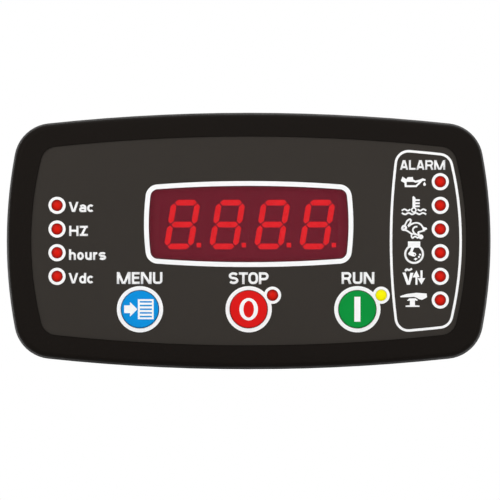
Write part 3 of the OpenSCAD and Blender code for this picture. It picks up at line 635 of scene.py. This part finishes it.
def wordShape(text, t, gap):
    forms = letterForms(t)
    along = 0
    strokes = []
    for letter in text:
        form = forms[letter]
        parts = [lineMesh(line, t) for line in form["lines"]]
        parts += [lineMesh(line, t, True) for line in form["loops"]]
        parts += [slantMesh(slant, t) for slant in form["slants"]]
        for part in parts:
            part.transform(Matrix.Translation((along, 0, 0)))
        strokes += parts
        along += form["wide"] + gap
    return shapeOf(combined(*strokes))


def fitTo(shape, left, bottom, right, top):
    # Stretches a shape of ink to a box in mm, and gives it its thickness
    low = Vector((left, bottom, -ink["sunk"])) * mm
    high = Vector((right, top, ink["thick"])) * mm
    least = Vector([min(v.co[i] for v in shape.verts) for i in range(3)])
    most = Vector([max(v.co[i] for v in shape.verts) for i in range(3)])
    bmesh.ops.translate(shape, vec=-least, verts=shape.verts)
    size = [(high[i] - low[i]) / (most[i] - least[i]) for i in range(3)]
    bmesh.ops.scale(shape, vec=size, verts=shape.verts)
    bmesh.ops.translate(shape, vec=low, verts=shape.verts)


# Words on the overlay: box is left, bottom, right, top in mm from the middle of the named node,
# and the stroke and the gap between letters are shares of the height
words = {
    "wordMenu": {"text": "MENU", "by": "menu_key", "stroke": 0.2, "gap": 0.1,
                 "box": (-6.6, 7.2, 6.4, 10.6)},
    "wordStop": {"text": "STOP", "by": "stop_key", "stroke": 0.21, "gap": 0.06,
                 "box": (-5.7, 7.15, 5.7, 10.55)},
    "wordRun": {"text": "RUN", "by": "run_key", "stroke": 0.205, "gap": 0.1,
                "box": (-4.5, 7.2, 4.85, 10.6)},
    "wordAlarm": {"text": "ALARM", "by": "lamp_oil_pressure", "stroke": 0.2, "gap": 0.07,
                  "box": (-11.5, 3.4, 1.4, 6.15)},
    "wordVoltsAc": {"text": "Vac", "by": "lamp_volts_ac", "stroke": 0.205, "gap": 0.05,
                    "box": (3.3, -1.925, 10.35, 1.0)},
    "wordHertz": {"text": "HZ", "by": "lamp_hertz", "stroke": 0.215, "gap": 0.1,
                  "box": (3.45, -2.0, 8.8, 0.925)},
    "wordHours": {"text": "hours", "by": "lamp_hours", "stroke": 0.21, "gap": 0.11,
                  "box": (3.4, -2.125, 14.05, 0.975)},
    "wordVoltsDc": {"text": "Vdc", "by": "lamp_volts_dc", "stroke": 0.205, "gap": 0.07,
                    "box": (3.3, -2.05, 10.3, 0.975)},
}
for name, word in words.items():
    middle = centre(word["by"])
    shape = wordShape(word["text"], word["stroke"], word["gap"])
    fitTo(shape, *word["box"])
    printInk(name, shape, (middle.x, overlayFace, middle.z), "controller")
print("words:", len(words))

# Terminal numbers printed on the back of the case above each plug, from left to right seen from behind:
# high and above are in mm, stroke and gap are shares of the height
numberRows = {
    "generatorNumbers": {"plug": "generator_plug", "from": 1, "count": 2},
    "terminalNumbers": {"plug": "terminal_plug", "from": 3, "count": 10},
}
numberPrint = {"high": 1.8, "stroke": 0.18, "gap": 0.14, "above": 1.4}


def numberShape(number):
    shape = wordShape(str(number), numberPrint["stroke"], numberPrint["gap"])
    half = numberPrint["high"] * max(v.co.x for v in shape.verts) / 2
    fitTo(shape, -half, 0, half, numberPrint["high"])
    return shape


def addNumbers(name, row):
    low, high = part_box(row["plug"])
    pitch = (high.x - low.x) / row["count"]
    numbers = bmesh.new()
    for i in range(row["count"]):
        shape = numberShape(row["from"] + i)
        spot = (high.x - (i + 0.5) * pitch, caseBack, high.z + numberPrint["above"] * mm)
        bmesh.ops.transform(shape, matrix=Matrix.Translation(spot) @ towardsBack, verts=shape.verts)
        numbers.from_mesh(settle(shape, bpy.data.meshes.new("number")))
    newPiece(name, numbers, "controller", "white_ink")


for name, row in numberRows.items():
    addNumbers(name, row)
print("terminal numbers:", sum(row["count"] for row in numberRows.values()))


# Signs, in mm: each fill is an outline with its holes, each round is x, y and radius, each line has its width
# and says whether it is closed

ringCorners = {"large": 36, "plain": 24, "small": 8}


def signShape(sign):
    parts = [fillMesh(outlines) for outlines in sign.get("fills", [])]
    parts += [fillMesh([ringPoints(x, y, r, r, ringCorners["plain"])]) for x, y, r in sign.get("rounds", [])]
    parts += [lineMesh(points, wide, loop, True) for points, wide, loop in sign.get("lines", [])]
    shape = shapeOf(combined(*parts))
    bmesh.ops.translate(shape, vec=(0, 0, halfUnit), verts=shape.verts)
    bmesh.ops.scale(shape, vec=(mm, mm, (ink["thick"] + ink["sunk"]) * mm), verts=shape.verts)
    bmesh.ops.translate(shape, vec=(0, 0, -ink["sunk"] * mm), verts=shape.verts)
    return shape


# Lamp signs stand left of their lamps: shift is the middle of the sign from the middle of the lamp
lampSigns = {
    "signOilPressure": {
        "by": "lamp_oil_pressure", "shift": (-7.6, -0.025),
        "fills": [
            [[(-3.18, 1.5), (-2.1, 0.75), (-1.7, 1.3), (-0.25, 1.38), (-0.1, 0.62), (0.57, 0.34),
              (1.68, 0.62), (2.56, 1.0), (3.38, 0.72), (3.38, 0.28), (2.56, 0.22), (0.8, -1.53),
              (-2.54, -1.53), (-2.61, -0.35), (-3.65, 0.24)],
             [(-2.0, -0.02), (0.0, -0.04), (0.5, -0.28), (1.5, -0.1), (0.6, -0.98), (-2.0, -0.98)]],
            [[(3.1, 0.0), (3.5, -0.65), (3.45, -1.0), (3.1, -1.2), (2.75, -1.0), (2.7, -0.65)]]]},
    "signCoolantTemp": {
        "by": "lamp_coolant_temp", "shift": (-7.45, -0.265),
        "fills": [
            [[(-0.48, -0.4), (-0.48, 2.65), (-0.2, 2.95), (0.38, 2.4), (0.38, -0.4)]],
            [rectPoints(0.3, 1.5, 1.6, 2.0)],
            [rectPoints(0.3, 0.62, 1.6, 1.12)],
            [rectPoints(0.3, -0.22, 1.6, 0.26)]],
        "lines": [
            (ringPoints(-0.1, -1.05, 0.6, 0.6, ringCorners["small"]), 0.42, True),
            (wavePoints(-3.55, -1.05, -1.05, 1.7, 0.2), 0.48, False),
            (wavePoints(0.95, 3.45, -1.05, 1.7, -0.2), 0.48, False),
            (wavePoints(-3.55, 3.45, -2.1, 2, -0.2), 0.5, False)]},
    "signOverspeed": {
        "by": "lamp_overspeed", "shift": (-7.45, -0.045),
        "fills": [[[(2.3, 0.7), (3.5, 0.45), (3.75, 0.0), (3.0, -0.4), (2.4, -0.2)]]],
        "rounds": [(1.95, -2.2, 0.68)],
        "lines": [
            ([(-2.75, 1.0), (-1.5, 2.75), (-1.05, 2.75), (-0.95, 2.3), (-1.75, 0.9)], 0.5, False),
            ([(-3.4, 0.15), (-2.8, 0.9), (-2.35, 0.25), (-3.1, -0.15)], 0.66, True),
            ([(-1.75, 0.75), (-0.6, 1.5), (0.7, 1.8), (1.85, 1.35), (2.5, 0.5)], 0.5, False),
            ([(3.0, -0.35), (1.8, -0.7), (1.15, -0.95), (1.55, -1.6)], 0.5, False),
            ([(-3.2, -0.2), (-2.3, -0.35), (-0.6, -1.45)], 0.5, False),
            ([(-0.6, -1.45), (-0.75, -2.1), (-0.5, -2.5), (0.2, -2.1), (1.2, -2.4), (1.1, -1.75),
              (0.3, -1.45)], 0.45, True),
            ([(0.95, 0.75), (0.1, 0.55), (-0.35, -0.1), (-0.1, -0.95), (0.8, -1.65)], 0.5, False)]},
    "signStartFail": {
        "by": "lamp_start_fail", "shift": (-7.47, -0.065),
        "fills": [
            [rectPoints(-1.75, 1.5, 1.75, 3.28)],
            [[(-0.8, 1.6), (0.09, 1.6), (-0.43, 0.33), (0.46, -0.04), (0.64, -0.56), (0.16, -1.08),
              (-0.43, -0.98), (-1.54, -0.56), (-1.73, -0.12), (-1.17, 0.47)],
             ringPoints(0.13, -0.49, 0.17, 0.17, ringCorners["small"])],
            [[(1.05, -1.6), (0.45, -1.4), (-0.15, -1.75), (0.45, -2.15)]]],
        "rounds": [(1.7, -0.49, 0.29), (1.38, -1.15, 0.31)],
        "lines": [(ringPoints(0, -0.33, 2.52, 2.52, ringCorners["plain"]), 0.6, True)]},
    "signGenVoltage": {
        "by": "lamp_gen_voltage", "shift": (-7.49, -0.035),
        "fills": [
            [[(-3.31, 1.12), (-2.43, 1.15), (-1.6, -1.29), (-1.05, 1.05), (-0.16, 1.05), (-1.17, -2.36),
              (-2.04, -2.36)]],
            [[(0.4, -2.36), (0.98, -2.36), (0.98, -0.2), (1.6, -0.2), (0.68, 1.74), (-0.46, -0.26),
              (0.4, -0.26)]],
            [[(2.43, 1.74), (1.83, 1.74), (1.83, -0.48), (1.02, -0.48), (2.1, -2.33), (3.17, -0.48),
              (2.43, -0.48)]]],
        "lines": [([(-2.5, 1.5), (-2.1, 2.05), (-1.5, 1.8), (-0.55, 2.2)], 0.58, False)]},
    "signEmergencyStop": {
        "by": "lamp_emergency_stop", "shift": (-7.67, 0.015),
        "fills": [
            [[(-3.82, 1.08), (-1.97, 1.7), (0.84, 2.06), (3.76, 1.85), (3.9, 0.79), (3.28, 0.4), (2.47, 0.04),
              (1.58, 0.24), (0.84, 0.68), (0.1, 0.9), (-1.97, 0.8), (-3.67, 0.76)]],
            [[(-1.82, -0.09), (-1.15, 0.45), (0.6, 0.5), (1.29, -0.02), (1.07, -0.24), (0.45, -0.12),
              (0.45, -1.5), (1.75, -1.6), (1.75, -1.97), (-2.22, -1.97), (-2.22, -1.6), (-1.0, -1.5),
              (-1.0, -0.17), (-1.7, -0.25)]]]},
}
for name, sign in lampSigns.items():
    middle = centre(sign["by"])
    across, up = sign["shift"]
    spot = (middle.x + across * mm, overlayFace, middle.z + up * mm)
    printInk(name, signShape(sign), spot, "controller")

# Signs printed on the key caps, which take them along
menuPage = {"left": -0.05, "right": 3.4, "half": 0.225, "levels": (2.1, 1.05, 0, -1.05, -2.1)}
menuLines = [rectPoints(menuPage["left"], y - menuPage["half"], menuPage["right"], y + menuPage["half"])
             for y in menuPage["levels"]]
keySigns = {
    "signMenuKey": {
        "key": "menu_key",
        "fills": [
            [[(-4.5, 1.1), (-2.85, 1.1), (-2.85, 2.1), (-0.75, 0), (-2.85, -2.1), (-2.85, -1.1),
              (-4.5, -1.1)]],
            [rectPoints(-0.6, -2.85, 3.9, 2.85)] + menuLines]},
    "signStopKey": {
        "key": "stop_key",
        "fills": [[ringPoints(0, 0, 2.65, 3.2, ringCorners["large"]),
                   ringPoints(0, 0, 1.5, 2.4, ringCorners["large"])]]},
    "signRunKey": {"key": "run_key", "fills": [[rectPoints(-0.865, -3.55, 0.865, 3.55)]]},
}
for name, sign in keySigns.items():
    middle = centre(sign["key"])
    printInk(name, signShape(sign), (middle.x, keyFace, middle.z), sign["key"])
print("signs:", len(lampSigns) + len(keySigns))


# Moulded pieces copied from the solids, with their facets joined into smooth faces and their edges broken

softCopies = {
    "bezelShell": {"node": "front_bezel", "slot": "bezel_plastic", "edge": 0},
    "caseShell": {"node": "rear_case", "slot": "case_plastic", "edge": 0},
    "leftPanelBracket": {"node": "left_bracket", "slot": "bracket_plastic", "edge": 0.2},
    "rightPanelBracket": {"node": "right_bracket", "slot": "bracket_plastic", "edge": 0.2},
    "inputPlug": {"node": "terminal_plug", "slot": "terminal_green", "edge": 0.1},
    "generatorPlug": {"node": "generator_plug", "slot": "terminal_green", "edge": 0.1},
}
weld = {"reach": 0.001, "flat": 0.1, "sharpFrom": 32, "brokenFrom": 60, "edgeSteps": 2}  # mm and degrees


def sharpEdges(shape, angle):
    # Edges where two faces meet at more than so many degrees
    return [e for e in shape.edges if len(e.link_faces) != 2 or e.calc_face_angle() > math.radians(angle)]


def softCopy(name, part):
    shape = shapeOf(cadNodes[part["node"]].data)
    bmesh.ops.remove_doubles(shape, verts=shape.verts, dist=weld["reach"] * mm)
    bmesh.ops.dissolve_limit(shape, angle_limit=math.radians(weld["flat"]), verts=shape.verts,
                             edges=shape.edges)
    sharp = sharpEdges(shape, weld["sharpFrom"])
    if part["edge"]:
        bmesh.ops.bevel(shape, geom=sharp, offset=part["edge"] * mm, offset_type="OFFSET", affect="EDGES",
                        segments=weld["edgeSteps"], profile=0.5, material=-1, clamp_overlap=True)
        sharp = sharpEdges(shape, weld["brokenFrom"])
    for face in shape.faces:
        face.smooth = True
    for edge in sharp:
        edge.smooth = False
    piece = newPiece(name, shape, "controller", part["slot"])
    flatFirst = piece.modifiers.new("flatFirst", "WEIGHTED_NORMAL")  # flat faces keep their own shade
    flatFirst.mode = "FACE_AREA"
    flatFirst.keep_sharp = True
    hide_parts(part["node"])


for name, part in softCopies.items():
    softCopy(name, part)
print("soft copies:", len(softCopies))

# Clamping screws with a cut thread and a slotted head, in mm along Y from the tip
clampScrews = {"leftClampScrew": "left_clamp_screw", "rightClampScrew": "right_clamp_screw"}
clampScrew = {"pitch": 0.5, "crest": 1.5, "depth": 0.3, "tipEdge": 0.45, "headR": 2.75, "headHigh": 2.0,
              "headEdge": 0.3, "slotWide": 0.8, "slotDeep": 1.0, "steps": 32, "spareTurns": 3}


def lathe(profile, rise=0):
    # Turns a profile of radius and Y round the Y axis, rising by so much in a full turn
    steps = clampScrew["steps"]
    shape = bmesh.new()
    spots = [shape.verts.new((r, y, 0)) for r, y in profile]
    lines = [shape.edges.new(pair) for pair in zip(spots, spots[1:])]
    bmesh.ops.spin(shape, geom=spots + lines, axis=(0, 1, 0), dvec=(0, rise / steps, 0),
                   angle=4 * quarterTurn, steps=steps, use_merge=not rise)
    return welded(settle(shape, bpy.data.meshes.new("turned")))


def threadMesh(end, length):
    # Ridges that climb by the pitch, cut off at both ends and rounded off at the tip
    pitch, crest, edge = clampScrew["pitch"], clampScrew["crest"], clampScrew["tipEdge"]
    spare = clampScrew["spareTurns"]
    turns = math.ceil(end / pitch) + spare
    ridges = [(crest - clampScrew["depth"] * (i % 2), (i - spare) / 2 * pitch) for i in range(2 * turns + 1)]
    thread = trimmed(lathe(ridges, pitch), 0, end)
    bar = lathe([(0, 0), (crest - edge, 0), (crest, edge), (crest, length), (0, length)])
    return combined(thread, bar, operation="INTERSECT")


def headMesh(shank, length):
    headR, edge = clampScrew["headR"], clampScrew["headEdge"]
    head = lathe([(0, shank), (headR, shank), (headR, length - edge), (headR - edge, length), (0, length)])
    slot = bmesh.new()
    bmesh.ops.create_cube(slot, size=1)
    bmesh.ops.scale(slot, vec=(4 * headR, 2 * clampScrew["slotDeep"], clampScrew["slotWide"]),
                    verts=slot.verts)
    bmesh.ops.translate(slot, vec=(0, length, 0), verts=slot.verts)
    return combined(head, settle(slot, bpy.data.meshes.new("slot")), operation="DIFFERENCE")


def addClampScrew(name, node):
    low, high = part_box(node)
    middle = centre(node)
    length = (high.y - low.y) / mm
    shank = length - clampScrew["headHigh"]
    thread = threadMesh(shank + clampScrew["headHigh"] / 2, length)  # ends inside the head
    shape = shapeOf(combined(headMesh(shank, length), thread))
    bmesh.ops.scale(shape, vec=(mm, mm, mm), verts=shape.verts)
    bmesh.ops.translate(shape, vec=(middle.x, low.y, middle.z), verts=shape.verts)
    piece = newPiece(name, shape, "controller", "steel")
    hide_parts(node)


for name, node in clampScrews.items():
    addClampScrew(name, node)
print("clamping screws:", len(clampScrews))


# Studio: pale floor, soft light, white surroundings. Places and sizes are in metres

studio = {"floorHalf": 3.0, "floorTone": 0.86, "floorRough": 0.9, "worldLevel": 0.36,
          "nearGlow": 0.45, "farGlow": 1.0, "glowFrom": 0.12, "glowTo": 0.7}
lights = {
    "keyLight": {"place": (-0.6, -1.1, 0.6), "size": 0.9, "power": 8},
    "fillLight": {"place": (0.8, -1.1, 0.35), "size": 0.9, "power": 5.5},
    "topLight": {"place": (0.1, 0.3, 1.3), "size": 1.0, "power": 5},
}


def mathNode(tree, operation, spot, first, second):
    node = addNode(tree, "ShaderNodeMath", spot, operation=operation)
    tree.links.new(first, node.inputs[0])
    tree.links.new(second, node.inputs[1])
    return node.outputs["Value"]


def whiteRays(tree):
    # 1 for what the camera, a reflection or a see-through surface sees, else 0
    rays = addNode(tree, "ShaderNodeLightPath", (-5, 0)).outputs
    seen = mathNode(tree, "MAXIMUM", (-4, 0), rays["Is Camera Ray"], rays["Is Glossy Ray"])
    return mathNode(tree, "MAXIMUM", (-3, 0), seen, rays["Is Transmission Ray"])


def buildWorld():
    world = bpy.data.worlds.new("studioWorld")
    bpy.context.scene.world = world
    world.use_nodes = True
    tree = world.node_tree
    sky = tree.nodes["Background"]
    setInputs(sky, Color=(1, 1, 1, 1))
    level = mapRange(tree, whiteRays(tree), (-1, 0), To_Min=studio["worldLevel"])
    tree.links.new(level, sky.inputs["Strength"])


def floorFinish():
    # The floor glows to white away from the object, for the camera and for reflections
    finish = bpy.data.materials.new("paleFloor")
    finish.use_nodes = True
    tree = finish.node_tree
    shader = tree.nodes["Principled BSDF"]
    tone = studio["floorTone"]
    setInputs(shader, Base_Color=(tone, tone, tone, 1), Roughness=studio["floorRough"], Specular_IOR_Level=0,
              Emission_Color=(1, 1, 1, 1))
    away = addNode(tree, "ShaderNodeVectorMath", (-4, -2), operation="LENGTH")
    tree.links.new(addNode(tree, "ShaderNodeTexCoord", (-5, -2)).outputs["Object"], away.inputs[0])
    reach = mapRange(tree, away.outputs["Value"], (-3, -2), From_Min=studio["glowFrom"],
                     From_Max=studio["glowTo"], To_Min=studio["nearGlow"], To_Max=studio["farGlow"])
    glow = mathNode(tree, "MULTIPLY", (-1, -1), whiteRays(tree), reach)
    tree.links.new(glow, shader.inputs["Emission Strength"])
    return finish


def buildFloor():
    shape = bmesh.new()
    bmesh.ops.create_grid(shape, x_segments=1, y_segments=1, size=studio["floorHalf"])
    bmesh.ops.translate(shape, vec=(0, 0, cadBounds[0].z), verts=shape.verts)
    mesh = settle(shape, bpy.data.meshes.new("floor"))
    mesh.materials.append(floorFinish())
    floor = bpy.data.objects.new("floor", mesh)
    bpy.context.scene.collection.objects.link(floor)


def buildLights():
    # Area lamps that look at the origin
    for name, light in lights.items():
        lamp = bpy.data.lights.new(name, "AREA")
        lamp.size = light["size"]
        lamp.energy = light["power"]
        holder = bpy.data.objects.new(name, lamp)
        holder.location = light["place"]
        holder.rotation_euler = (-Vector(light["place"])).to_track_quat("-Z", "Y").to_euler()
        holder.visible_camera = False
        bpy.context.scene.collection.objects.link(holder)


# The camera stands just above the floor and looks up a little at the middle of the front, in mm
camera = {"lens": 1500, "sensor": 36, "across": 0.38, "aim": -2.61, "away": 5950, "aboveFloor": 0.05,
          "farClip": 20000}


def buildCamera():
    view = bpy.data.cameras.new("photoView")
    view.lens = camera["lens"]
    view.sensor_width = camera["sensor"]
    view.clip_end = camera["farClip"] * mm
    across = camera["across"] * mm
    holder = bpy.data.objects.new("photoView", view)
    holder.location = (across, -camera["away"] * mm, cadBounds[0].z + camera["aboveFloor"] * mm)
    aim = Vector((across, cadBounds[0].y, camera["aim"] * mm))
    holder.rotation_euler = (aim - holder.location).to_track_quat("-Z", "Y").to_euler()
    bpy.context.scene.collection.objects.link(holder)
    bpy.context.scene.camera = holder


buildWorld()
buildFloor()
buildLights()
buildCamera()
bpy.context.scene.view_settings.view_transform = "Standard"
print("studio ready")
